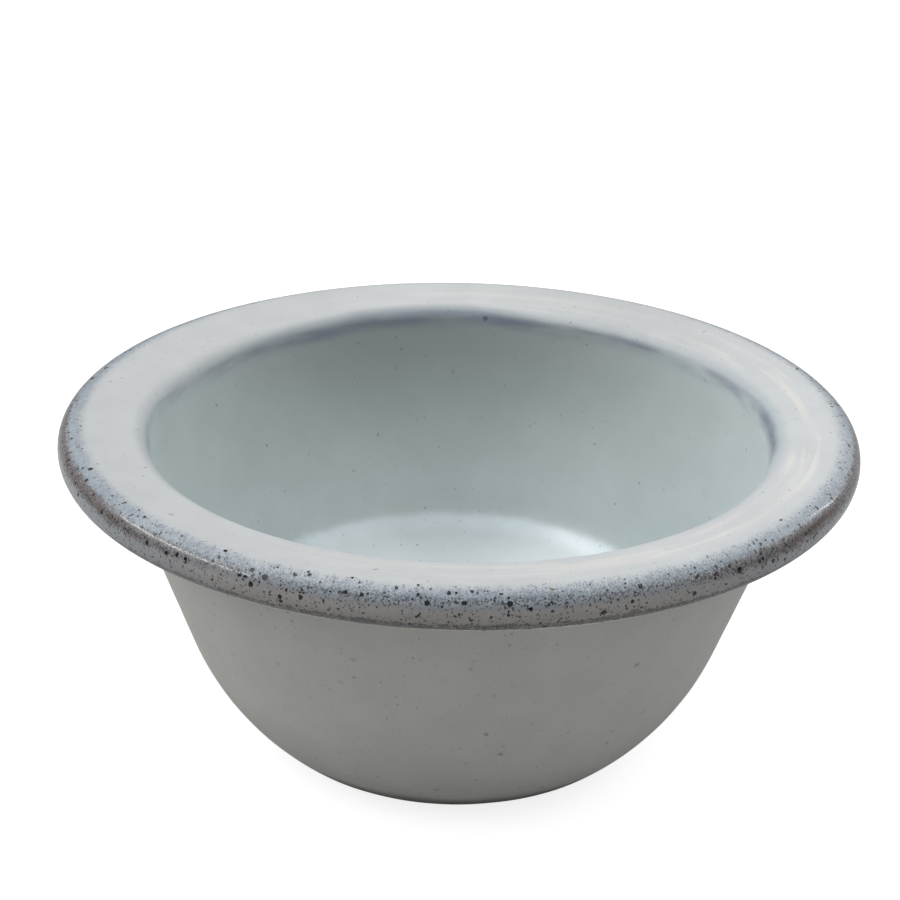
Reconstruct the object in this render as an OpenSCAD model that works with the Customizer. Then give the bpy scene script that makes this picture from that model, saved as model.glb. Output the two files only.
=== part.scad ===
// Stoneware prep bowl with a broad rolled rim: one piece of turned and fired clay under coats of glaze.
// Millimetres, +Z up. The origin is the centre of the foot, on the surface that the bowl stands on.
// Sizes are those of the finished, glazed bowl. The clay lies one glaze thickness below that surface.

/* [Rim] */
// Diameter over the rolled edge
rim_d = 150; // [135:1:180]
// Height from the foot to the crest of the rolled edge
bowl_h = 66; // [58:0.5:80]
// Width of the rim, from the mouth to the rolled edge
rim_w = 16.5; // [14:0.5:20]
// Thickness of the rim at its rolled edge
edge_t = 8; // [6:0.1:9.5]
// Radius where the rim turns down into the bowl
lip_round = 3.5; // [2.5:0.1:5.5]
// Drop from the crest of the rolled edge to the crest of the lip
lip_drop = 1.8; // [0:0.1:2.5]
// Radius in the corner under the rim
under_round = 4; // [2:0.1:5]

/* [Wall] */
// Thickness of the wall
wall_t = 6.2; // [4.5:0.1:7.5]
// Lean of the wall from upright, in degrees
wall_lean = 18.5; // [14:0.5:22]
// Radius of the belly outside
belly_r = 52; // [46:0.5:60]
// Radius inside, between the floor and the wall
corner_r = 22; // [18:0.5:30]
// Thickness of the floor over the recess in the foot
floor_t = 6.5; // [5:0.1:9]

/* [Foot] */
// Diameter of the foot where the belly meets the surface under the bowl
foot_d = 70; // [62:0.5:76]
// Bevel round the outer edge of the foot
foot_bevel = 1; // [0.6:0.1:1.2]
// Width of the flat face that the bowl stands on
foot_face_w = 4.5; // [3:0.1:7]
// Depth of the recess inside the foot ring
recess_h = 3; // [2:0.1:4]
// Radius in the corner of the recess
recess_round = 2; // [1.2:0.1:2.5]
// Lean of the foot ring's inner side from upright, in degrees
ring_lean = 20; // [5:1:35]

/* [Glaze] */
// Thickness of a coat of glaze
glaze_t = 0.6; // [0.4:0.05:0.8]
// Gap left between a coat and the clay, so that the two solids stay apart
coat_gap = 0.15; // [0.05:0.01:0.2]
// Height of the bare band at the foot
bare_h = 1.8; // [1.6:0.1:4]
// Where the liner meets the rim coat, along the lip's curve from the wall to the rim
lip_break_share = 0.3; // [0:0.05:0.9]
// Where the rim coat meets the outside coat, along the rolled edge from its top to its underside
roll_break_share = 0.87; // [0.6:0.01:0.98]

/* [Hidden] */
// Turn of one step along an arc, in degrees
arc_step = 5;
// Sides of a turned form
turned_sides = 180;

clay_colour = "#8a6a55";
liner_colour = "#a9b5b3";
rim_colour = "#c3c9c9";
outside_colour = "#9a9b95";

// Depth of the coat's own glass
coat_t = glaze_t - coat_gap;
// Rolled edge, a half round
edge_r = edge_t / 2;
edge_c = [rim_d / 2 - edge_r, bowl_h - edge_r];
// Lip, where the rim turns down into the bowl
lip_c = [rim_d / 2 - rim_w + lip_round, bowl_h - lip_drop - lip_round];
// The top of the rim is the line that touches the lip and the rolled edge
rim_run = edge_c - lip_c;
rim_slope = atan2(rim_run[1], rim_run[0]) - asin((lip_round - edge_r) / norm(rim_run));
// Radii that the straight faces of the wall would reach at the foot
wall_in_r = lip_c[0] - lip_round * cos(wall_lean) - (lip_c[1] + lip_round * sin(wall_lean)) * tan(wall_lean);
wall_out_r = wall_in_r + wall_t / cos(wall_lean);
// Corner under the rim, touching its level underside and the wall
under_z = bowl_h - edge_t - under_round;
under_c = [wall_out_r + under_z * tan(wall_lean) + under_round / cos(wall_lean), under_z];
// Corner inside, touching the floor and the wall
floor_z = recess_h + floor_t;
corner_z = floor_z + corner_r;
corner_c = [wall_in_r + corner_z * tan(wall_lean) - corner_r / cos(wall_lean), corner_z];
// Belly, touching the wall, whose clay reaches the foot's diameter on the surface under the bowl
wall_up = [sin(wall_lean), cos(wall_lean)];
belly_start = [wall_out_r - belly_r / cos(wall_lean), 0];
foot_to_start = belly_start - [foot_d / 2, 0];
start_rise = foot_to_start * wall_up;
belly_clay_r = belly_r - glaze_t;
belly_rise = sqrt(start_rise ^ 2 - foot_to_start * foot_to_start + belly_clay_r ^ 2) - start_rise;
belly_c = belly_start + belly_rise * wall_up;
// Foot ring and its recess
ring_out_r = foot_d / 2 - foot_bevel;
ring_in_r = ring_out_r - foot_face_w;
recess_z = recess_h - recess_round;
recess_c = [ring_in_r - recess_z * tan(ring_lean) - recess_round / cos(ring_lean), recess_z];
// Angles at which one coat gives way to the next
lip_start = 180 - wall_lean;
rim_start = 90 + rim_slope;
lip_break = lip_start + (rim_start - lip_start) * lip_break_share;
roll_break = rim_start + (-90 - rim_start) * roll_break_share;
glaze_end = -asin((belly_c[1] - bare_h) / belly_r);
bevel_start = -asin((belly_c[1] - foot_bevel) / belly_clay_r);

// Points from one angle to another on the arc of radius r about the centre c
function arc(c, r, from, to) =
    let (steps = ceil(abs(to - from) / arc_step))
    [for (i = [0 : steps]) let (a = from + (to - from) * i / steps) c + r * [cos(a), sin(a)]];

function reversed(points) = [for (i = [len(points) - 1 : -1 : 0]) points[i]];
function after_first(points) = [for (i = [1 : len(points) - 1]) points[i]];

// Outlines at a depth below the finished surface, from the middle of the floor over the rim to the foot
function inside_line(depth) = concat(
    [[0, floor_z - depth]],
    arc(corner_c, corner_r + depth, -90, -wall_lean),
    arc(lip_c, lip_round - depth, lip_start, lip_break));

function rim_line(depth) = concat(
    arc(lip_c, lip_round - depth, lip_break, rim_start),
    arc(edge_c, edge_r - depth, rim_start, roll_break));

function outside_line(depth) = concat(
    arc(edge_c, edge_r - depth, roll_break, -90),
    arc(under_c, under_round + depth, 90, lip_start),
    arc(belly_c, belly_r - depth, -wall_lean, glaze_end));

// Bare clay of the foot, from the end of the outside coat to the foot ring's inner edge
function foot_line() = concat(
    arc(belly_c, belly_clay_r, glaze_end, bevel_start),
    [[ring_out_r, 0], [ring_in_r, 0]]);

// Recess in the foot, at a height above its clay
function recess_line(height) = concat(
    arc(recess_c, recess_round - height, ring_lean, 90),
    [[0, recess_h - height]]);

module turned(points) {
    rotate_extrude($fn = turned_sides) polygon(points);
}

// A coat of glaze between its finished outline and its outline against the clay
module coat(finished, against) {
    turned(concat(finished, reversed(against)));
}

module stoneware_body() {
    color(clay_colour)
        turned(concat(
            inside_line(glaze_t),
            after_first(rim_line(glaze_t)),
            after_first(outside_line(glaze_t)),
            after_first(foot_line()),
            recess_line(0)));
}

module inside_glaze() {
    color(liner_colour) coat(inside_line(0), inside_line(coat_t));
}

module rim_glaze() {
    color(rim_colour) coat(rim_line(0), rim_line(coat_t));
}

module outside_glaze() {
    color(outside_colour) coat(outside_line(0), outside_line(coat_t));
}

module base_glaze() {
    color(liner_colour) coat(recess_line(glaze_t), recess_line(coat_gap));
}

stoneware_body();
inside_glaze();
rim_glaze();
outside_glaze();
base_glaze();
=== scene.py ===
"""Looks of a stoneware prep bowl: a turned clay body under coats of speckled glaze, in a plain studio.

Metres, +Z up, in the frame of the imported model. The bowl stands on Z 0 with its axis on Z.
"""

import math
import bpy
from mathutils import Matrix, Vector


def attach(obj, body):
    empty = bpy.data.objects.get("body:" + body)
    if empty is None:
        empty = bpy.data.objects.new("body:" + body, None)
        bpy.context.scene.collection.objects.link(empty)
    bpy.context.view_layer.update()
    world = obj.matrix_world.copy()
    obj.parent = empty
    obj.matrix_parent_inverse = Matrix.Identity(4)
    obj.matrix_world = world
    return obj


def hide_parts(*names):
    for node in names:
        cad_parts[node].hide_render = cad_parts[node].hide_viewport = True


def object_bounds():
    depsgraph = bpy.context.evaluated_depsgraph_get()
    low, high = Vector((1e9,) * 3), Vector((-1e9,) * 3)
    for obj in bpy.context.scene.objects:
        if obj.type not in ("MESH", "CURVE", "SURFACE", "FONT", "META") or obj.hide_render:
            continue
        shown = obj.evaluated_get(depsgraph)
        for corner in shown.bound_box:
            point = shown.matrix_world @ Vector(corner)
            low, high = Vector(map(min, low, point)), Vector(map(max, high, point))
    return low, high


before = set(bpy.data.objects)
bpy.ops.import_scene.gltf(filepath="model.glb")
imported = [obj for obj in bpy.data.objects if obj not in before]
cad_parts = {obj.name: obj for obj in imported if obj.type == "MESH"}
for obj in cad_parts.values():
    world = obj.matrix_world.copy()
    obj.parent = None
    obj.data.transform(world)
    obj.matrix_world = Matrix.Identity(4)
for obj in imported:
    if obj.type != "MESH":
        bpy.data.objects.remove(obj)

from types import SimpleNamespace

import bpy
import numpy as np
from bpy.props import FloatProperty, FloatVectorProperty, PointerProperty
from mathutils import Matrix, Vector

bl_info = {
    "name": "Stoneware prep bowl",
    "version": (1, 0, 0),
    "blender": (4, 5, 0),
    "location": "View3D > Sidebar > Bowl",
    "description": "Builds a glazed stoneware bowl over its packed model, with a plain studio round it",
    "category": "Add Mesh",
}

CAD_LOW, CAD_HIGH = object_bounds()
MM = 0.001
# Faces round every turned piece, and points along each arc of the profile
SIDES = 360
ARC_POINTS = 160
# Step along a surface over which its slope is taken
SLOPE_STEP = 2e-5
# Edges that turn by more than this stay sharp
SHARP_ANGLE = math.radians(35)
# Radius of a turned piece's first ring of points, round its middle point
FIRST_RING = 0.5 * MM
# Points across the level part of the recess, and across the face of the foot ring
RECESS_POINTS = 12
FACE_POINTS = 10
# Steps along the arcs of the recess and the bare foot, where a coarser line is enough
RECESS_STEP = 8
FOOT_STEP = 20
# Height of the worn inner edge of the foot ring
RING_EDGE = 0.1 * MM
# Length over which the throwing rings fade out
RING_FADE = 6 * MM
# Radius of the round wall on which flowing patterns are laid out
FLOW_RADIUS = 72 * MM
# Radius at which a place counts as fully across or fully back
RIM_RADIUS = 75 * MM
# Point that the lamps face, in the middle of the bowl
LAMP_AIM = Vector((0, 0, 0.05))
SENSOR_WIDTH = 36.0
WHITE = (1.0, 1.0, 1.0, 1.0)


def length(name, description, default):
    """A size in metres."""
    return FloatProperty(name=name, description=description, default=default,
                         subtype="DISTANCE", unit="LENGTH", precision=5)


def angle(name, description, degrees):
    """An angle, given in degrees and kept in radians."""
    return FloatProperty(name=name, description=description, default=math.radians(degrees),
                         subtype="ANGLE", unit="ROTATION")


def share(name, description, default):
    """A share from 0 to 1."""
    return FloatProperty(name=name, description=description, default=default,
                         min=0.0, max=1.0, subtype="FACTOR")


def level(name, description, default):
    """The brightness of a lamp's face, where 1 is white."""
    return FloatProperty(name=name, description=description, default=default, min=0.0)


def colour(name, description, default):
    """A linear colour."""
    return FloatVectorProperty(name=name, description=description, default=default,
                               size=3, min=0.0, max=1.0, subtype="COLOR")


class BowlSizes(bpy.types.PropertyGroup):
    """Sizes of the finished bowl."""
    rim_d: length("Rim diameter", "Diameter over the rolled edge", CAD_HIGH.x - CAD_LOW.x)
    bowl_h: length("Height", "Height from the foot to the crest of the rolled edge",
                   CAD_HIGH.z - CAD_LOW.z)
    rim_w: length("Rim width", "Width from the mouth to the rolled edge", 0.0165)
    edge_t: length("Rim thickness", "Thickness of the rim at its rolled edge", 0.008)
    lip_round: length("Lip radius", "Radius where the rim turns down into the bowl", 0.0035)
    lip_drop: length("Lip drop", "Drop from the crest of the rolled edge to the crest of the lip",
                     0.0018)
    under_round: length("Radius under the rim", "Radius in the corner under the rim", 0.004)
    wall_t: length("Wall", "Thickness of the wall", 0.0062)
    wall_lean: angle("Wall lean", "Lean of the wall from upright", 18.5)
    belly_r: length("Belly", "Radius of the belly outside", 0.052)
    corner_r: length("Inside corner", "Radius between the floor and the wall", 0.022)
    floor_t: length("Floor", "Thickness of the floor over the recess in the foot", 0.0065)
    foot_d: length("Foot", "Diameter of the foot", 0.070)
    foot_bevel: length("Foot bevel", "Bevel round the outer edge of the foot", 0.001)
    foot_face_w: length("Foot face", "Width of the face that the bowl stands on", 0.0045)
    recess_h: length("Recess", "Depth of the recess inside the foot ring", 0.003)
    recess_round: length("Recess radius", "Radius in the corner of the recess", 0.002)
    ring_lean: angle("Ring lean", "Lean of the foot ring's inner side from upright", 20.0)
    glaze_t: length("Glaze", "Thickness of a coat of glaze", 0.0006)
    coat_gap: length("Coat gap", "Gap left between a coat and the clay", 0.00015)
    bare_h: length("Bare band", "Height of the bare band at the foot", 0.0018)
    lip_break: share("Lip break", "Where the liner meets the rim coat, along the lip's curve", 0.3)
    roll_break: share("Roll break", "Where the rim coat meets the outside coat, along the rolled edge",
                      0.87)
    rim_rise: length("Rim rise", "Rise of one side of the rim over the middle, from the firing", 0.0004)
    rim_oval: length("Rim oval", "How far the rim is out of round", 0.0002)
    throw_h: length("Throwing rings", "Height of the rings left by the potter's fingers", 0.000008)
    throw_pitch: length("Throwing pitch", "Distance between the rings", 0.0075)
    run_h: length("Glaze run", "How far the lower edge of the outside glaze waves", 0.0007)


class BowlColours(bpy.types.PropertyGroup):
    """Colours of the glaze and the clay."""
    liner: colour("Liner", "Glaze inside the bowl", (0.46, 0.52, 0.522))
    # Partly a paler glaze in the floor, partly a painted reflection of bright light there
    pool: colour("Pool", "Paler glaze that ran down to the bowl's floor", (0.59, 0.66, 0.69))
    rim: colour("Rim", "Pale glaze on top of the rim", (0.57, 0.59, 0.6))
    # Partly the glaze's own streaks, partly a painted reflection on the rim
    cream: colour("Cream", "Warm streaks on top of the rim", (0.68, 0.672, 0.645))
    halo: colour("Halo", "Blue tint where the rim glaze thins", (0.32, 0.37, 0.415))
    lip_line: colour("Lip line", "Dark line where the glaze breaks over the lip", (0.15, 0.175, 0.23))
    crest: colour("Crest", "Mauve break along the rolled edge", (0.15, 0.115, 0.11))
    face: colour("Face", "Blue-grey face of the rolled edge", (0.285, 0.305, 0.328))
    under: colour("Under", "Brownish lower part of the rolled edge", (0.34, 0.312, 0.292))
    wall: colour("Wall", "Glaze outside", (0.555, 0.557, 0.526))
    grain: colour("Grain", "Fine dark grains", (0.03, 0.033, 0.04))
    ink: colour("Ink", "Fine blue-grey grains where the rim glaze thins", (0.165, 0.197, 0.245))
    rust: colour("Rust", "Fine rusty grains", (0.06, 0.04, 0.033))
    speck: colour("Speck", "Large iron specks", (0.008, 0.007, 0.008))
    amber: colour("Amber", "Iron specks that melted to amber", (0.16, 0.09, 0.03))
    clay: colour("Clay", "Bare clay", (0.36, 0.25, 0.18))
    # Also painted shade: the dark edge low on the bowl, where it turns under to the foot
    toasted_and_shaded: colour("Toasted clay", "Clay and thin glaze, browned where they meet", (0.09, 0.055, 0.04))


class StudioSettings(bpy.types.PropertyGroup):
    """Camera, lamps and floor."""
    camera_place: FloatVectorProperty(
        name="Camera", description="Place of the camera", default=(-0.00163, -0.32413, 0.20181),
        subtype="TRANSLATION", unit="LENGTH")
    camera_pitch: angle("Camera pitch", "How far the camera looks down", 24.115)
    camera_roll: angle("Camera roll", "How far the camera is turned about its own axis", 1.4)
    camera_lens: FloatProperty(name="Lens", description="Focal length", default=74.02, unit="CAMERA")
    top_level: level("Top window", "Brightness of the soft window overhead", 0.75)
    left_level: level("Left window", "Brightness of the soft window at the left", 2.15)
    right_level: level("Right window", "Brightness of the soft window at the right", 1.3)
    front_level: level("Front wall", "Brightness of the pale wall in front, over a dark edge", 0.37)
    back_left_level: level("Back left window", "Brightness of the soft window behind at the left", 0.67)
    back_right_level: level("Back right window", "Brightness of the soft window behind at the right",
                            1.05)
    strip_level: level("Strip lamps", "Brightness of the two narrow lamps at the sides", 12.0)
    room_level: level("Room", "Brightness of the room all round", 0.06)
    floor_white: level("Floor white", "Light that the camera sees from the floor itself", 0.82)
    mirrored: share("Mirrored white", "Share of the white background that gloss shows", 0.1)
    floor_colour: colour("Floor", "Colour of the floor", (0.42, 0.42, 0.42))


def section(sizes):
    """Centres, radii and angles of the bowl's section, as (distance from the axis, height).

    The rolled edge is a half round. The top of the rim touches it and the lip. Both faces of the
    wall lean alike. The belly touches the wall and meets the foot's diameter on Z 0.
    """
    lean, edge_r = sizes.wall_lean, sizes.edge_t / 2
    rise, side = math.tan(lean), 1 / math.cos(lean)
    edge_c = np.array((sizes.rim_d / 2 - edge_r, sizes.bowl_h - edge_r))
    lip_c = np.array((sizes.rim_d / 2 - sizes.rim_w + sizes.lip_round,
                      sizes.bowl_h - sizes.lip_drop - sizes.lip_round))
    run = edge_c - lip_c
    rim_start = (math.pi / 2 + math.atan2(run[1], run[0])
                 - math.asin((sizes.lip_round - edge_r) / np.hypot(*run)))
    wall_in = (lip_c[0] - sizes.lip_round / side
               - (lip_c[1] + sizes.lip_round * math.sin(lean)) * rise)
    wall_out = wall_in + sizes.wall_t * side
    under_z = sizes.bowl_h - sizes.edge_t - sizes.under_round
    corner_z = sizes.recess_h + sizes.floor_t + sizes.corner_r
    up = np.array((math.sin(lean), math.cos(lean)))
    belly_start = np.array((wall_out - sizes.belly_r * side, 0.0))
    foot_to_start = belly_start - (sizes.foot_d / 2, 0.0)
    start_rise, clay_r = foot_to_start @ up, sizes.belly_r - sizes.glaze_t
    belly_c = belly_start + up * (
        math.sqrt(start_rise ** 2 - foot_to_start @ foot_to_start + clay_r ** 2) - start_rise)
    ring_out = sizes.foot_d / 2 - sizes.foot_bevel
    recess_z = sizes.recess_h - sizes.recess_round
    recess_r = (ring_out - sizes.foot_face_w - recess_z * math.tan(sizes.ring_lean)
                - sizes.recess_round / math.cos(sizes.ring_lean))
    return SimpleNamespace(
        lean=lean, edge_r=edge_r, edge_c=edge_c, lip_c=lip_c, rim_start=rim_start,
        lip_start=math.pi - lean, belly_c=belly_c, belly_clay_r=clay_r,
        under_c=np.array((wall_out + under_z * rise + sizes.under_round * side, under_z)),
        corner_c=np.array((wall_in + corner_z * rise - sizes.corner_r * side, corner_z)),
        recess_c=np.array((recess_r, recess_z)), ring_out=ring_out,
        glaze_end=-math.asin((belly_c[1] - sizes.bare_h) / sizes.belly_r),
        bevel_start=-math.asin((belly_c[1] - sizes.foot_bevel) / clay_r))


def arc(centre, radius, start, end):
    """Points of an arc: the centre plus the radius times (cos a, sin a), a even from start to end."""
    turn = np.linspace(start, end, ARC_POINTS)
    return centre + radius * np.column_stack((np.cos(turn), np.sin(turn)))


def finished_profile(sizes):
    """The finished surface from the middle of the floor, over the rim and down to the glaze's end.

    Five arcs, joined by their common tangents. Each point has the length along the profile, its
    place and its outward direction, and marks names the lengths at which the form changes.
    """
    form = section(sizes)
    right, lean = math.pi / 2, form.lean
    # Centre, radius, first and last angle, and 1 where the arc is a convex form
    runs = ((form.corner_c, sizes.corner_r, -right, -lean, -1),
            (form.lip_c, sizes.lip_round, form.lip_start, form.rim_start, 1),
            (form.edge_c, form.edge_r, form.rim_start, -right, 1),
            (form.under_c, sizes.under_round, right, form.lip_start, -1),
            (form.belly_c, sizes.belly_r, -lean, form.glaze_end, 1))
    place = np.vstack([np.array((0.0, form.corner_c[1] - sizes.corner_r))]
                      + [arc(centre, radius, start, end) for centre, radius, start, end, _ in runs])
    out = np.vstack([np.array((0.0, 1.0))]
                    + [arc(np.zeros(2), convex, start, end) for _, _, start, end, convex in runs])
    along = np.concatenate(((0.0,), np.cumsum(np.hypot(*np.diff(place, axis=0).T))))
    starts = along[1::ARC_POINTS]
    ends = along[ARC_POINTS::ARC_POINTS]
    marks = SimpleNamespace(
        floor=starts[0], wall=ends[0], lip=starts[1], rim=ends[1], edge=starts[2], roll=ends[2],
        under=starts[3], outside=ends[3], belly=starts[4], foot=ends[4])
    marks.lip_break = marks.lip + (marks.rim - marks.lip) * sizes.lip_break
    marks.roll_break = marks.edge + (marks.roll - marks.edge) * sizes.roll_break
    return SimpleNamespace(along=along, place=place, out=out, marks=marks)


def settled(sizes, r, z, turn):
    """Points of a turned form that settled a little in the kiln.

    Towards the rim the radius gains two slow waves round the bowl, and the height gains a share
    of X, so one side of the rim stands a little higher. The foot stays true.
    """
    reach = np.clip(z / sizes.bowl_h, 0, 1) ** 2
    waves = np.cos(2 * turn + 0.7) + 0.5 * np.cos(3 * turn + 2.1)
    r = r + sizes.rim_oval * reach * waves * r / r.max()
    x, y = r * np.cos(turn), r * np.sin(turn)
    return np.stack((x, y, z + sizes.rim_rise * reach * x / (sizes.rim_d / 2)), axis=-1)


def glazed_surface(sizes, profile, along, depth, turn):
    """Points at a length along the profile, a depth below its surface and a turn about the axis.

    The profile's point is moved along its outward direction by the throwing rings less the depth.
    The rings are a sine of the length less the turn, so that they climb as one spiral, and they
    fade out before the rim.
    """
    marks = profile.marks
    fade = np.interp(along, (marks.floor, marks.wall, marks.lip - RING_FADE, marks.lip, marks.outside,
                             marks.outside + RING_FADE, marks.foot - RING_FADE, marks.foot),
                     (0.3, 1, 1, 0, 0, 1, 1, 0))
    rings = sizes.throw_h * fade * np.sin(2 * math.pi * along / sizes.throw_pitch - turn)
    r, z = (np.interp(along, profile.along, profile.place[:, i])
            + (rings - depth) * np.interp(along, profile.along, profile.out[:, i]) for i in (0, 1))
    return settled(sizes, r, z, turn)


def unit(vectors):
    """Vectors divided by their lengths."""
    return vectors / np.maximum(np.linalg.norm(vectors, axis=-1, keepdims=True), 1e-12)


def turned_mesh(name, grid, ends=None, normals=None):
    """A mesh from a grid of points, rows by sides: quads join the neighbours all the way round.

    With no ends, the last row joins the first. With two end points on the axis, a fan closes each
    end. Normals holds each strip's directions at its first and its last row.
    """
    rows, sides = grid.shape[:2]
    index = np.arange(rows * sides).reshape(rows, sides)
    first = index if ends is None else index[:-1]
    second = np.roll(index, -1, axis=0)[:len(first)]
    corners = np.stack((first, second, np.roll(second, -1, 1), np.roll(first, -1, 1)), axis=-1)
    points, faces = grid.reshape(-1, 3), corners.reshape(-1, 4).tolist()
    if ends is not None:
        points = np.vstack((points, ends))
        near, far = index[0], index[-1]
        faces += np.stack((np.full(sides, rows * sides), near, np.roll(near, -1)), axis=-1).tolist()
        faces += np.stack((np.full(sides, rows * sides + 1), np.roll(far, -1), far), axis=-1).tolist()
    mesh = bpy.data.meshes.new(name)
    mesh.from_pydata(points.tolist(), [], faces)
    mesh.polygons.foreach_set("use_smooth", np.ones(len(faces), bool))
    if normals is None:
        mesh.set_sharp_from_angle(angle=SHARP_ANGLE)
    else:
        near, far = normals
        split = np.stack((near, far, np.roll(far, -1, 1), np.roll(near, -1, 1)), axis=2).reshape(-1, 3)
        if ends is not None:
            split = np.vstack((split, np.tile((0.0, 0.0, 1.0), (3 * sides, 1)),
                               np.tile((0.0, 0.0, -1.0), (3 * sides, 1))))
        mesh.normals_split_custom_set(split.tolist())
    if mesh.validate():
        raise RuntimeError(f"{name}: the mesh had faulty faces")
    return mesh


def keep_along(mesh, along):
    """Keeps each point's length along the profile in the mesh, for the materials."""
    kept = mesh.attributes.new("along", "FLOAT", "POINT")
    kept.data.foreach_set("value", np.ascontiguousarray(along, np.float32).ravel())


def rows_between(marks, counts):
    """Lengths along the profile: each stretch between two marks in its count of even steps."""
    steps = [np.linspace(start, end, count, endpoint=False)
             for start, end, count in zip(marks[:-1], marks[1:], counts)]
    return np.concatenate(steps + [marks[-1:]])


def coat_mesh(name, sizes, profile, marks, counts, run=0.0):
    """A coat of glaze: its finished surface one way along the profile and its clay side back.

    A coat that starts at the middle of the floor is closed there by fans, and another by a flat
    cap, as the far end is. The directions of the faces come from the surface's own slopes, so the
    coats meet with no crease. run is how far the far edge draws back, waving round the bowl.
    """
    turn = np.linspace(0, 2 * math.pi, SIDES, endpoint=False)[None, :]
    along = rows_between(np.asarray(marks, float), counts)[:, None]
    from_axis = marks[0] == 0
    if from_axis:
        # A small first ring, which the fans close
        along[0] = along[1] / 4
    # Waves of 5, 11 and 23 to the turn, whose sum stays between 0 and 1
    wave = 0.5 + 0.2 * np.sin(5 * turn + 1) + 0.17 * np.sin(11 * turn + 4) + 0.13 * np.sin(23 * turn + 2)
    along = along - run * wave * ((along - along[0]) / (along[-1] - along[0])) ** 8
    coat_t = sizes.glaze_t - sizes.coat_gap

    def at(depth, ahead=0.0, aside=0.0):
        """The coat's points at a depth, shifted ahead along the profile and aside about the axis."""
        return glazed_surface(sizes, profile, along + ahead, depth, turn + aside)

    sides, slopes = [], []
    for depth in (0.0, coat_t):
        ahead = at(depth, ahead=SLOPE_STEP) - at(depth, ahead=-SLOPE_STEP)
        aside = at(depth, aside=SLOPE_STEP) - at(depth, aside=-SLOPE_STEP)
        sides.append(at(depth))
        slopes.append((unit(ahead), unit(np.cross(ahead, aside))))
    (ahead, out), (_, into) = slopes
    grid = np.concatenate((sides[0], sides[1][::-1]))
    facing = np.concatenate((out, -into[::-1]))
    near, far = facing.copy(), np.roll(facing, -1, axis=0)
    last = len(along) - 1
    near[last] = far[last] = ahead[-1]
    near[-1] = far[-1] = -ahead[0]
    ends = None
    if from_axis:
        near, far = near[:-1], far[:-1]
        top = profile.place[0, 1]
        ends = np.array(((0, 0, top), (0, 0, top - coat_t)))
    mesh = turned_mesh(name, grid, ends, (near, far))
    kept = np.concatenate((along, along[::-1])) + 0 * turn
    keep_along(mesh, np.append(kept.ravel(), (0.0, 0.0)) if from_axis else kept)
    return mesh


def recess_line(sizes, form, height):
    """The recess in the foot from the ring's inner side to near the axis, at a height above its clay."""
    curve = arc(form.recess_c, sizes.recess_round - height, sizes.ring_lean, math.pi / 2)
    level_part = np.linspace(curve[-1], (FIRST_RING, sizes.recess_h - height), RECESS_POINTS)[1:]
    return np.vstack((curve[::RECESS_STEP], level_part))


def outline_mesh(name, sizes, outline):
    """A solid turned from an outline that starts and ends near the axis, with the air on its left."""
    turn = np.linspace(0, 2 * math.pi, SIDES, endpoint=False)[None, :]
    grid = settled(sizes, outline[:, :1], outline[:, 1:], turn)
    return turned_mesh(name, grid, np.array([(0, 0, outline[i, 1]) for i in (0, -1)]))


def body_mesh(name, sizes):
    """The clay: the finished profile one glaze thickness down, then the foot and its recess."""
    form, profile = section(sizes), finished_profile(sizes)
    marks = profile.marks
    along = rows_between(np.array((FIRST_RING, marks.floor, marks.wall, marks.lip, marks.rim, marks.edge,
                                   marks.roll, marks.under, marks.outside, marks.belly, marks.foot)),
                         (4, 14, 6, 8, 3, 24, 2, 8, 6, 20))
    covered = np.column_stack([
        np.interp(along, profile.along, profile.place[:, i])
        - sizes.glaze_t * np.interp(along, profile.along, profile.out[:, i]) for i in (0, 1)])
    bare = arc(form.belly_c, form.belly_clay_r, form.glaze_end, form.bevel_start)[FOOT_STEP::FOOT_STEP]
    bevel = np.array((bare[-1], (form.ring_out, 0.0)))
    # The bevel's two points lie clear of its ends, so its edges are worn
    soft = np.array((0.25, 0.75))[:, None]
    ring_in = form.ring_out - sizes.foot_face_w
    face_r = np.linspace(form.ring_out, ring_in, FACE_POINTS)[1:-1]
    return outline_mesh(name, sizes, np.vstack((
        covered, bare, bevel[0] + (bevel[1] - bevel[0]) * soft, np.column_stack((face_r, 0 * face_r)),
        ((ring_in, RING_EDGE),), recess_line(sizes, form, 0.0))))


def base_mesh(name, sizes, profile):
    """The coat in the recess: its clay side out from the axis, and its finished side back."""
    form = section(sizes)
    mesh = outline_mesh(name, sizes, np.vstack((
        recess_line(sizes, form, sizes.coat_gap)[::-1], recess_line(sizes, form, sizes.glaze_t))))
    keep_along(mesh, np.full(len(mesh.vertices), profile.marks.belly))
    return mesh


class Value:
    """A number's socket that takes part in Python sums. Each operator adds one Math node."""

    def __init__(self, graph, socket):
        self.graph, self.socket = graph, socket

    def math(self, operation, first, second):
        """What a Math node makes of two numbers, either of which may be a Value."""
        made = self.graph.node("ShaderNodeMath", {"operation": operation}, {0: first, 1: second})
        return Value(self.graph, made.outputs[0])

    def __add__(self, other):
        return self.math("ADD", self, other)

    def __sub__(self, other):
        return self.math("SUBTRACT", self, other)

    def __rsub__(self, other):
        return self.math("SUBTRACT", other, self)

    def __mul__(self, other):
        return self.math("MULTIPLY", self, other)

    def __truediv__(self, other):
        return self.math("DIVIDE", self, other)

    __radd__, __rmul__ = __add__, __mul__

    def larger(self, other):
        """The larger of this number and another."""
        return self.math("MAXIMUM", self, other)

    def rise(self, low, high):
        """0 up to low and 1 from high, with a smooth step between them."""
        made = self.graph.node("ShaderNodeMapRange", {"interpolation_type": "SMOOTHSTEP"},
                               {"Value": self, "From Min": low, "From Max": high})
        return Value(self.graph, made.outputs[0])

    def band(self, low, full, past, high):
        """1 from full to past, with smooth steps up from low and down to high."""
        return self.rise(low, full) * (1 - self.rise(past, high))


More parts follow.
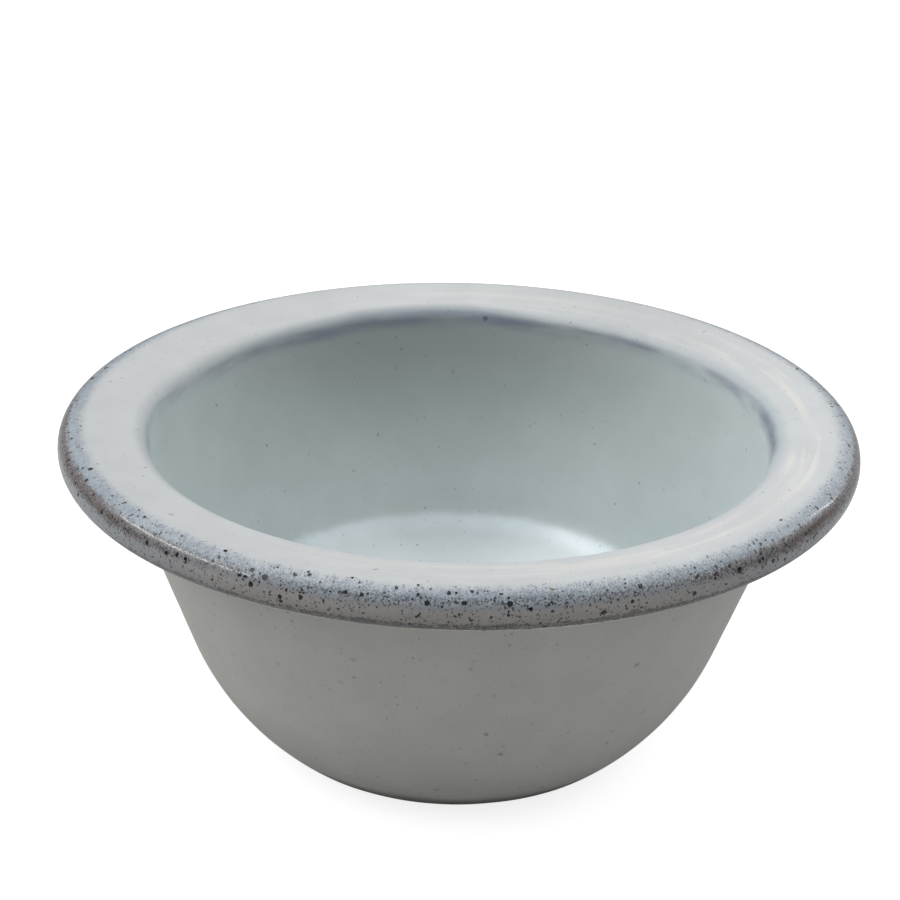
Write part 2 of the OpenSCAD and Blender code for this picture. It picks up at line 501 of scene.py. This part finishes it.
class Graph:
    """The nodes of one material or world."""

    def __init__(self, owner):
        owner.use_nodes = True
        self.tree = owner.node_tree
        self.tree.nodes.clear()

    def node(self, kind, settings=(), sockets=()):
        """Adds a node, sets its settings, then gives its sockets their values or links."""
        made = self.tree.nodes.new(kind)
        for name, setting in dict(settings).items():
            setattr(made, name, setting)
        for key, given in dict(sockets).items():
            source = given.socket if isinstance(given, Value) else given
            if isinstance(source, bpy.types.NodeSocket):
                self.tree.links.new(source, made.inputs[key])
            else:
                made.inputs[key].default_value = source
        return made

    def value(self, kind, output=0, settings=(), sockets=()):
        """Adds a node, and gives one of its outputs as a Value."""
        return Value(self, self.node(kind, settings, sockets).outputs[output])

    def object_place(self):
        """The place in the piece's own coordinates, in metres."""
        return self.node("ShaderNodeTexCoord").outputs["Object"]

    def flow(self, place, along, stretch):
        """Places on a round wall as high as the length along the profile, shortened by stretch.

        A pattern made there is drawn out along the profile, as glaze flows.
        """
        flat = self.node("ShaderNodeVectorMath", {"operation": "MULTIPLY"},
                         {0: place, 1: (1.0, 1.0, 0.0)})
        radial = self.node("ShaderNodeVectorMath", {"operation": "NORMALIZE"}, {0: flat.outputs[0]})
        rise = self.node("ShaderNodeCombineXYZ", {}, {2: along * (MM / stretch)})
        return self.node("ShaderNodeVectorMath", {"operation": "MULTIPLY_ADD"},
                         {0: radial.outputs[0], 1: (FLOW_RADIUS,) * 3, 2: rise.outputs[0]}).outputs[0]

    def round_rim(self, place, along, squeeze):
        """Places as flow gives them, squeezed round the bowl, so that a pattern runs along the rim."""
        return self.node("ShaderNodeVectorMath", {"operation": "MULTIPLY"},
                         {0: self.flow(place, along, 1.0), 1: (squeeze, squeeze, 1.0)}).outputs[0]

    def noise(self, place, grain, detail=2.0, roughness=0.5):
        """Smooth noise from 0 to 1 whose blots are about as large as grain, in metres."""
        return self.value("ShaderNodeTexNoise", 0, {}, {
            "Vector": place, "Scale": 1 / grain, "Detail": detail, "Roughness": roughness})

    def mix(self, first, second, factor):
        """The first colour, turning to the second as the factor goes from 0 to 1."""
        return self.node("ShaderNodeMix", {"data_type": "RGBA"},
                         {0: factor, 6: opaque(first), 7: opaque(second)}).outputs[2]

    def scaled(self, colour_socket, factor):
        """A colour made lighter or darker by a factor."""
        return self.node("ShaderNodeVectorMath", {"operation": "SCALE"},
                         {0: colour_socket, "Scale": factor}).outputs[0]

    def specks(self, place, cell, size, chance, soft=0.12):
        """Dots in a random scatter: a dot in that chance of cells, its radius about size of a cell."""
        cells = self.node("ShaderNodeTexVoronoi", {}, {"Vector": place, "Scale": 1 / cell})
        pick = self.node("ShaderNodeSeparateColor", {}, {0: cells.outputs["Color"]})
        there = (chance - Value(self, pick.outputs[0])).rise(-0.02, 0.02)
        radius = size * (0.5 + Value(self, pick.outputs[1]))
        dot = (radius - Value(self, cells.outputs["Distance"])).rise(0.0, soft)
        return dot * there, Value(self, pick.outputs[2])


def opaque(given):
    """A colour property as four numbers. A socket stays as it is."""
    return given if isinstance(given, bpy.types.NodeSocket) else (*given, 1.0)


def inside_colour(g, where, uneven, marks, colours):
    """The liner: a pale pool on the floor, partly paler glaze and partly painted reflection, with a
    painted highlight along its edge, and a wall that darkens to the lip.

    Towards the lip the wall gets painted shade at the back and the left, and painted light at the
    sides, most at the right.
    """
    wall, lip = marks.wall, marks.lip
    wavy = where.along + (uneven - 0.5) * 1.2
    # The floor turns to the pool colour: partly paler glaze, partly painted reflection
    tone = g.mix(colours.pool, colours.liner, wavy.rise(wall - 4.6, wall - 2.0) * 0.85 + 0.15)
    # Painted highlight: a lighter ring along the pool's edge, growing towards the right
    edge = wavy.band(wall - 8.5, wall - 5.0, wall - 4.4, wall - 2.4)
    # Painted shade towards the lip at the back and the left, and painted light at the sides, most at the
    # right
    painted_shade_and_light = where.along.rise(wall - 4.0, lip) * (
        0.06 + where.back * 0.48 - where.across * 0.12 - where.side * 0.18)
    painted_highlight_strength = 0.13 + where.across.rise(-0.1, 0.4) * 0.12
    return g.scaled(tone, 1 + edge * painted_highlight_strength - painted_shade_and_light)


def rim_colour(g, where, uneven, marks, colours):
    """The liner's colour up to the lip, a dark irregular line there, and the streaked top of the rim.
    The rim gets painted light towards the right and painted shade at its back right.

    Where the glaze ran thin, behind the middle and at the right, the line and its blue halo are wider.
    """
    lip, edge = marks.lip, marks.edge
    blots = g.noise(g.round_rim(where.place, where.along, 0.16), 2.5 * MM)
    streaks = g.noise(g.round_rim(where.place, where.along, 0.06), 1.7 * MM)
    wavy = where.lipped + (uneven - 0.5) * 0.7
    # Cream streaks: partly the glaze's own, partly a painted reflection, fading out towards the left
    shown = streaks.rise(0.45, 0.68) * where.across.rise(-0.7, 0.5)
    shaded = where.across.rise(0.0, 0.5) * where.back.rise(0.2, 0.7)
    cream_and_sheen = shown * where.along.band(lip + 2, lip + 4, edge - 3, edge - 1) * (0.8 - shaded * 0.45)
    top = g.mix(colours.rim, colours.cream, cream_and_sheen)
    # Painted light towards the right of the rim, and painted shade at its back right
    top = g.scaled(top, 0.97 + where.across * 0.05 - shaded * 0.08)
    right = where.across.rise(0.6, 0.8) * where.back.band(-0.35, -0.1, 0.35, 0.55)
    thinned = where.across.band(-0.7, -0.4, 0.0, 0.3) * where.back.rise(-0.2, 0.6) + right
    tone = g.mix(inside_colour(g, where, uneven, marks, colours), top,
                 wavy.rise(lip + 0.2, lip + 2.4 + thinned * 2.6))
    blue = wavy.band(lip - 0.2, lip + 1.0, lip + 1.6, lip + 4.6)
    tone = g.mix(tone, colours.halo, blue * (0.32 + thinned * 0.18))
    line = (wavy + (blots - 0.5)).band(lip - 2.4, lip + 0.2,
                                       lip + 0.5 + thinned * 0.3, lip + 1.6 + thinned * 0.8)
    strength = 0.32 + where.back * 0.2 + where.middle * 0.15 + right * 0.15 + (blots - 0.5) * 1.2
    return g.mix(tone, colours.lip_line, line * strength.rise(0.0, 1.0))


def zone_colour(g, where, marks, colours):
    """The glaze's colour along the profile, without its specks, with some painted light and shade.

    Noise shifts the lengths, so that one zone runs into the next. Bristles cross the rolled edge, and
    its break is brown where the glaze is worn at the sides. The wall's glaze starts under the roll
    with a pale line, a painted highlight, and ends above the bare foot in a browned edge that is
    partly painted shade.
    """
    edge, roll, foot = marks.edge, marks.roll, marks.foot
    slow = g.noise(where.place, 26 * MM, detail=1.0)
    uneven = g.noise(where.place, 5 * MM)
    bristles = g.noise(g.flow(where.place, where.along, 4.0), 0.35 * MM, detail=1.0)
    wavy = where.worn + (uneven - 0.5) * 1.4 + (bristles - 0.5) * 2.0
    tone = g.mix(rim_colour(g, where, uneven, marks, colours), colours.halo,
                 wavy.rise(edge - 1.0 - where.side, edge + 2.0 - where.side * 0.6))
    tone = g.mix(tone, colours.face, wavy.rise(edge + 2.2, edge + 3.6))
    broken = 0.08 + where.side * (0.57 + slow.rise(0.3, 0.55) * 0.3)
    tone = g.mix(tone, colours.crest, wavy.band(edge + 1.8, edge + 2.8, edge + 3.9, edge + 5.2) * broken)
    tone = g.mix(tone, colours.under,
                 wavy.rise(edge + 3.0, edge + 5.2) * (1 - where.side) * (0.7 + slow * 0.3))
    turned_under = where.along + (uneven - 0.5) * 0.8 + (bristles - 0.5) * 0.8
    tone = g.mix(tone, colours.wall, turned_under.rise(roll - 3.1, roll - 2.7))
    # Painted highlight: a pale line where the wall's glaze starts under the roll
    painted_highlight_line = turned_under.band(roll - 3.1, roll - 2.8, roll - 2.6, roll - 1.9) * slow.rise(0.3, 0.5)
    tone = g.scaled(tone, 1 + painted_highlight_line * 0.8)
    # Darker towards the foot: partly browned glaze, partly painted shade where the bowl turns under
    browned_and_shaded = (where.along + (uneven - 0.5) * 1.5).rise(foot - 7.0, foot - 1.5)
    return g.mix(tone, colours.toasted_and_shaded, browned_and_shaded * 0.85)


def add_specks(g, where, marks, colours, tone):
    """Lays iron over a glaze colour: fine grains where the glaze breaks, then single specks.

    All are dots in scattered cells, drawn out of round by a noise. A slower noise gathers the
    grains in patches.
    """
    lip, edge, roll = marks.lip, marks.edge, marks.roll
    patches = g.noise(where.place, 1.8 * MM)
    shift = (patches - 0.5) * 2.4
    start, past = edge - 0.6 - where.side * 0.6, edge + 2.2 + where.side * 1.8
    crest = (where.worn + shift).band(start, start + 2.0, past, past + 1.6)
    low = (where.along + shift * 0.5).band(roll - 5.1, roll - 4.4, roll - 3.3, roll - 2.9)
    face = where.worn.band(edge + 1.2, edge + 2.8, roll - 4.6, roll - 4.0)
    wall = where.along.rise(roll - 2.2, roll)
    at_lip = where.lipped.band(lip - 2.5, lip - 1.0, lip + 1.0, lip + 2.5)
    wobble = g.node("ShaderNodeTexNoise", {},
                    {"Vector": where.place, "Scale": 1 / (0.5 * MM), "Detail": 1.0})
    drawn = g.node("ShaderNodeVectorMath", {"operation": "MULTIPLY_ADD"},
                   {0: wobble.outputs[1], 1: (0.5 * MM,) * 3, 2: where.place}).outputs[0]
    gathered = 0.6 + patches.rise(0.36, 0.56) * 0.4
    tone = g.mix(tone, colours.grain, low * gathered * 0.5)
    grain, shade = g.specks(g.flow(drawn, where.along, 1.4), 0.23 * MM, 0.6,
                            (crest * 1.1 + low) * gathered + face * 0.15, soft=0.1)
    iron = g.mix(colours.grain, colours.rust, shade.rise(0.4, 0.6) * (0.15 + where.side * 0.85))
    ink = g.mix(colours.ink, colours.halo, where.side * 0.25)
    iron = g.mix(ink, iron, (where.worn + shift * 0.5).rise(edge + 1.4, edge + 2.6))
    tone = g.mix(tone, iron, grain * 0.7)
    faint, shade = g.specks(drawn, 2.4 * MM, 0.12, 0.35, soft=0.08)
    tone = g.mix(tone, colours.speck, faint * (0.04 + shade * 0.16))
    soft, shade = g.specks(drawn, 2.8 * MM, 0.2, wall * 0.6 + at_lip * 0.3, soft=0.22)
    tone = g.mix(tone, colours.speck, soft * (0.12 + shade * shade * 0.45))
    small, shade = g.specks(drawn, 0.55 * MM, 0.36, face * 0.2 + crest * 0.15, soft=0.05)
    tone = g.mix(tone, colours.speck, small * (0.7 + shade * 0.3))
    medium, _ = g.specks(drawn, 1.15 * MM, 0.28, face * 0.2 + crest * 0.25, soft=0.04)
    tone = g.mix(tone, colours.speck, medium)
    large, shade = g.specks(drawn, 2.8 * MM, 0.15, face * 0.3 + crest * 0.5, soft=0.02)
    melted = g.mix(colours.speck, colours.amber, shade.rise(0.5, 0.55) * patches.rise(0.42, 0.55))
    return g.mix(tone, melted, large), grain


def glaze_material(colours, marks):
    """Speckled satin glaze whose colour and gloss follow the length along the profile, in millimetres.

    across and back are 1 at the right and at the back of the rim, side is 1 at its left and right,
    and middle is 1 behind, left of the centre. lipped and worn are the length along the profile,
    shifted to where the glaze broke at the lip and at the rolled edge.
    """
    material = bpy.data.materials.new("speckled_glaze")
    g = Graph(material)
    place = g.object_place()
    along = g.value("ShaderNodeAttribute", "Fac", {"attribute_name": "along"}) / MM
    marks = SimpleNamespace(**{name: mark / MM for name, mark in vars(marks).items()})
    lip, edge, roll = marks.lip, marks.edge, marks.roll
    parts = g.node("ShaderNodeSeparateXYZ", {}, {0: place})
    across, back = (Value(g, parts.outputs[i]) / RIM_RADIUS for i in (0, 1))
    middle = across.band(-0.45, -0.25, 0.0, 0.25)
    drop = (1.3 - across * 0.8 - middle * 1.2) * back.rise(0.0, 0.3)
    where = SimpleNamespace(place=place, along=along, across=across, back=back, middle=middle,
                            side=(across * across).rise(0.12, 0.6),
                            lipped=along - 0.2 - across * 0.4 - back * 0.6 + drop,
                            worn=along - 2.2 + across * across * 1.2 - across * 0.3)
    mottle = g.noise(place, 9 * MM, detail=4.0, roughness=0.6)
    tone = g.scaled(zone_colour(g, where, marks, colours), 0.9 + mottle * 0.2)
    tone, grain = add_specks(g, where, marks, colours, tone)
    wall = along.rise(roll - 2.0, roll - 0.5)
    liner = 1 - along.rise(lip - 3.0, lip + 0.5)
    matt = along.band(lip - 2.0, lip, edge - 1.0, edge + 1.0)
    glossy = along.band(edge, edge + 2.0, roll - 4.0, roll - 2.0)
    peel = g.noise(place, 3 * MM, detail=1.0)
    rings = g.value("ShaderNodeTexNoise", 0, {"noise_dimensions": "1D"},
                    {"W": along, "Scale": 0.6, "Detail": 1.0})
    bump = g.node("ShaderNodeBump", {}, {
        "Strength": 1.0, "Distance": 1.0, "Height": peel * (0.008 * MM) + rings * (0.003 * MM)})
    roughness = 0.34 + wall * 0.08 + matt * 0.15 + grain * 0.1 + mottle * 0.05 - glossy * 0.24
    shader = g.node("ShaderNodeBsdfPrincipled", {}, {
        "Base Color": tone, "Roughness": roughness,
        "Coat Weight": 0.05 + liner * 0.95, "Coat Roughness": 0.32, "Coat IOR": 1.75,
        "IOR": 1.5, "Normal": bump.outputs[0]})
    g.node("ShaderNodeOutputMaterial", {}, {"Surface": shader.outputs[0]})
    return material


def clay_material(colours):
    """Bare stoneware: gritty, wiped in rings, and browned up to the glaze's edge, partly the clay's own
    browning and partly painted shade.
    """
    material = bpy.data.materials.new("toasted_and_shaded_clay")
    g = Graph(material)
    place = g.object_place()
    parts = g.node("ShaderNodeSeparateXYZ", {}, {0: place})
    height = Value(g, parts.outputs[2]) / MM
    radius = g.value("ShaderNodeVectorMath", "Value", {"operation": "LENGTH"}, {0: place}) / MM
    rings = g.value("ShaderNodeTexNoise", 0, {"noise_dimensions": "1D"},
                    {"W": radius, "Scale": 1.6, "Detail": 4.0})
    grit = g.noise(place, 0.6 * MM, detail=3.0, roughness=0.7)
    blush = g.noise(place, 14 * MM)
    # Darker above the foot's face: partly the clay's own browning, partly painted shade
    tone = g.mix(colours.clay, colours.toasted_and_shaded, (height + blush * 0.8).rise(0.3, 1.3))
    tone = g.scaled(tone, 0.75 + rings * 0.25 + grit * 0.3)
    dots, shade = g.specks(place, 1.1 * MM, 0.2, 0.3)
    tone = g.mix(tone, colours.grain, dots * (0.4 + shade * 0.5))
    bump = g.node("ShaderNodeBump", {}, {
        "Strength": 1.0, "Distance": 1.0, "Height": grit * (0.05 * MM) + rings * (0.06 * MM)})
    shader = g.node("ShaderNodeBsdfPrincipled", {}, {
        "Base Color": tone, "Roughness": 0.7 + grit * 0.2, "Normal": bump.outputs[0]})
    g.node("ShaderNodeOutputMaterial", {}, {"Surface": shader.outputs[0]})
    return material


def seen(g, mirrored=1.0):
    """1 for rays from the camera, and the share mirrored for those that a gloss or a glass sends on."""
    path = g.node("ShaderNodeLightPath")
    camera, gloss, through = (Value(g, path.outputs[name]) for name in (
        "Is Camera Ray", "Is Glossy Ray", "Is Transmission Ray"))
    return camera.larger(gloss.larger(through) * mirrored)


def floor_material(studio):
    """A pale floor that shows shadows, with a little light of its own so that it looks white."""
    material = bpy.data.materials.new("studio_floor")
    g = Graph(material)
    shader = g.node("ShaderNodeBsdfPrincipled", {}, {
        "Base Color": opaque(studio.floor_colour), "Roughness": 0.9, "Specular IOR Level": 0.1})
    glow = g.node("ShaderNodeEmission", {}, {"Strength": seen(g, studio.mirrored) * studio.floor_white})
    both = g.node("ShaderNodeAddShader", {}, {0: shader.outputs[0], 1: glow.outputs[0]})
    g.node("ShaderNodeOutputMaterial", {}, {"Surface": both.outputs[0]})
    return material


def show(name, mesh, material):
    """Puts a mesh into the scene as an object at the origin."""
    mesh.materials.append(material)
    made = bpy.data.objects.new(name, mesh)
    bpy.context.scene.collection.objects.link(made)
    return made


def shared_glaze(scene, profile):
    """The one glaze material that every coat uses."""
    found = bpy.data.materials.get("speckled_glaze")
    return found or glaze_material(scene.bowl_colours, profile.marks)


class BOWL_OT_body(bpy.types.Operator):
    """Turns the clay body with its foot ring"""
    bl_idname = "bowl.body"
    bl_label = "Clay body"

    def execute(self, context):
        sizes = context.scene.bowl_sizes
        piece = show("clay_body", body_mesh("clay_body", sizes),
                     clay_material(context.scene.bowl_colours))
        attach(piece, "root")
        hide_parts("stoneware_body")
        return {"FINISHED"}


class BOWL_OT_liner(bpy.types.Operator):
    """Lays the glaze inside the bowl, from the floor to the lip"""
    bl_idname = "bowl.liner"
    bl_label = "Liner glaze"

    def execute(self, context):
        sizes = context.scene.bowl_sizes
        profile = finished_profile(sizes)
        marks = profile.marks
        mesh = coat_mesh("liner_coat", sizes, profile,
                         (0.0, marks.floor, marks.wall, marks.lip, marks.lip_break), (16, 30, 34, 6))
        piece = show("liner_coat", mesh, shared_glaze(context.scene, profile))
        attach(piece, "root")
        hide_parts("inside_glaze")
        return {"FINISHED"}


class BOWL_OT_rim(bpy.types.Operator):
    """Lays the glaze on the rim, from the lip round the rolled edge"""
    bl_idname = "bowl.rim"
    bl_label = "Rim glaze"

    def execute(self, context):
        sizes = context.scene.bowl_sizes
        profile = finished_profile(sizes)
        marks = profile.marks
        mesh = coat_mesh("rim_coat", sizes, profile,
                         (marks.lip_break, marks.rim, marks.edge, marks.roll_break), (12, 20, 44))
        piece = show("rim_coat", mesh, shared_glaze(context.scene, profile))
        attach(piece, "root")
        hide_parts("rim_glaze")
        return {"FINISHED"}


class BOWL_OT_outside(bpy.types.Operator):
    """Lays the glaze under the rim and down the outside to the bare band"""
    bl_idname = "bowl.outside"
    bl_label = "Outside glaze"

    def execute(self, context):
        sizes = context.scene.bowl_sizes
        profile = finished_profile(sizes)
        marks = profile.marks
        mesh = coat_mesh("outside_coat", sizes, profile,
                         (marks.roll_break, marks.roll, marks.under,
                          marks.outside, marks.belly, marks.foot),
                         (8, 5, 16, 26, 40), run=sizes.run_h)
        piece = show("outside_coat", mesh, shared_glaze(context.scene, profile))
        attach(piece, "root")
        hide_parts("outside_glaze")
        return {"FINISHED"}


class BOWL_OT_base(bpy.types.Operator):
    """Lays the glaze in the recess of the foot"""
    bl_idname = "bowl.base"
    bl_label = "Base glaze"

    def execute(self, context):
        sizes = context.scene.bowl_sizes
        profile = finished_profile(sizes)
        piece = show("base_coat", base_mesh("base_coat", sizes, profile),
                     shared_glaze(context.scene, profile))
        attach(piece, "root")
        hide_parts("base_glaze")
        return {"FINISHED"}


def direction(azimuth, elevation):
    """The direction of an azimuth, 0 in front and 90 at the right, and an elevation, in degrees."""
    a, e = math.radians(azimuth), math.radians(elevation)
    return Vector((math.sin(a) * math.cos(e), -math.cos(a) * math.cos(e), math.sin(e)))


def add_lamp(name, azimuth, elevation, distance, width, height, brightness):
    """A rectangular lamp that faces the bowl."""
    lamp = bpy.data.lights.new(name, "AREA")
    lamp.shape, lamp.size, lamp.size_y = "RECTANGLE", width, height
    lamp.energy = brightness * math.pi * width * height
    made = bpy.data.objects.new(name, lamp)
    towards = direction(azimuth, elevation)
    made.location = towards * distance + LAMP_AIM
    made.rotation_euler = (-towards).to_track_quat("-Z", "Y").to_euler()
    made.visible_camera = False
    bpy.context.scene.collection.objects.link(made)


def add_camera(studio):
    """The camera: it looks down by its pitch, towards +Y, and turns about its own axis by its roll."""
    pitch, roll = studio.camera_pitch, studio.camera_roll
    camera = bpy.data.cameras.new("camera")
    camera.lens, camera.sensor_width = studio.camera_lens, SENSOR_WIDTH
    made = bpy.data.objects.new("camera", camera)
    made.matrix_world = (Matrix.Translation(studio.camera_place)
                         @ Matrix.Rotation(math.pi / 2 - pitch, 4, "X") @ Matrix.Rotation(roll, 4, "Z"))
    bpy.context.scene.collection.objects.link(made)
    bpy.context.scene.camera = made


def floor_mesh(name, half, steps):
    """A level square on Z 0: X and Y each run evenly from minus half to half."""
    x, y = np.meshgrid(np.linspace(-half, half, steps), np.linspace(-half, half, steps))
    index = np.arange(steps * steps).reshape(steps, steps)
    corners = np.stack((index[:-1, :-1], index[:-1, 1:], index[1:, 1:], index[1:, :-1]), axis=-1)
    mesh = bpy.data.meshes.new(name)
    mesh.from_pydata(np.column_stack((x.ravel(), y.ravel(), 0 * x.ravel())).tolist(), [],
                     corners.reshape(-1, 4).tolist())
    return mesh


def studio_world(studio):
    """Soft round windows in a dim room, a pale wall in front, and a white background for the camera.

    A window glows where the ray's direction is near its own: the dot product of the two rises from
    the cosine of the window's outer half angle to that of its inner one. The wall glows where the
    direction points forward and more than about 20 degrees up.
    """
    # Azimuth, where 0 is in front and 90 at the right, elevation, inner and outer half angle, brightness
    windows = ((0, 90, 8, 38, studio.top_level),
               (-90, 50, 5, 40, studio.left_level),
               (90, 48, 5, 44, studio.right_level),
               (-135, 28, 8, 36, studio.back_left_level),
               (135, 28, 8, 36, studio.back_right_level))
    world = bpy.data.worlds.new("studio_room")
    g = Graph(world)
    towards = g.node("ShaderNodeTexCoord").outputs["Generated"]
    parts = g.node("ShaderNodeSeparateXYZ", {}, {0: towards})
    back, up = Value(g, parts.outputs[1]), Value(g, parts.outputs[2])
    front = (1 - back.rise(-0.6, 0.0)) * up.rise(0.30, 0.42)
    glow = studio.room_level + front * studio.front_level
    for azimuth, elevation, inner, outer, brightness in windows:
        near = g.value("ShaderNodeVectorMath", "Value", {"operation": "DOT_PRODUCT"},
                       {0: towards, 1: direction(azimuth, elevation)})
        low, high = (math.cos(math.radians(half)) for half in (outer, inner))
        glow = glow + near.rise(low, high) * brightness
    room = g.node("ShaderNodeBackground", {}, {"Color": WHITE, "Strength": glow})
    white = g.node("ShaderNodeBackground", {}, {"Color": WHITE, "Strength": 1.0})
    both = g.node("ShaderNodeMixShader", {}, {
        0: seen(g, back.rise(-0.1, 0.5) * studio.mirrored), 1: room.outputs[0], 2: white.outputs[0]})
    g.node("ShaderNodeOutputWorld", {}, {"Surface": both.outputs[0]})
    return world


class BOWL_OT_studio(bpy.types.Operator):
    """Sets up the floor, the lamps, the room's light and the camera"""
    bl_idname = "bowl.studio"
    bl_label = "Studio"

    def execute(self, context):
        studio = context.scene.bowl_studio
        floor = floor_mesh("studio_floor", half=4.0, steps=9)
        show("studio_floor", floor, floor_material(studio))
        add_lamp("left_strip", azimuth=-82, elevation=30, distance=1.2,
                 width=1.0, height=0.055, brightness=studio.strip_level)
        add_lamp("right_strip", azimuth=121, elevation=22, distance=1.2,
                 width=0.03, height=0.3, brightness=studio.strip_level)
        context.scene.world = studio_world(studio)
        context.scene.view_settings.view_transform = "Standard"
        add_camera(studio)
        return {"FINISHED"}


class BOWL_PT_panel(bpy.types.Panel):
    """Lists the bowl's pieces and the studio"""
    bl_idname = "BOWL_PT_panel"
    bl_label = "Prep bowl"
    bl_space_type = "VIEW_3D"
    bl_region_type = "UI"
    bl_category = "Bowl"

    def draw(self, context):
        for operator in OPERATORS:
            self.layout.operator(operator.bl_idname)
        for group in (context.scene.bowl_sizes, context.scene.bowl_colours, context.scene.bowl_studio):
            for name in group.__annotations__:
                self.layout.prop(group, name)


OPERATORS = (BOWL_OT_body, BOWL_OT_liner, BOWL_OT_rim, BOWL_OT_outside, BOWL_OT_base, BOWL_OT_studio)
GROUPS = (BowlSizes, BowlColours, StudioSettings)
CLASSES = (*GROUPS, *OPERATORS, BOWL_PT_panel)


def register():
    """Registers the classes and gives the scene its settings."""
    for made in CLASSES:
        bpy.utils.register_class(made)
    bpy.types.Scene.bowl_sizes = PointerProperty(type=BowlSizes)
    bpy.types.Scene.bowl_colours = PointerProperty(type=BowlColours)
    bpy.types.Scene.bowl_studio = PointerProperty(type=StudioSettings)


def unregister():
    """Takes the settings off the scene and removes the classes."""
    del bpy.types.Scene.bowl_sizes, bpy.types.Scene.bowl_colours, bpy.types.Scene.bowl_studio
    for made in reversed(CLASSES):
        bpy.utils.unregister_class(made)


def main():
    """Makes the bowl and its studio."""
    register()
    bpy.ops.bowl.body()
    bpy.ops.bowl.liner()
    bpy.ops.bowl.rim()
    bpy.ops.bowl.outside()
    bpy.ops.bowl.base()
    bpy.ops.bowl.studio()


if __name__ == "__main__":
    main()
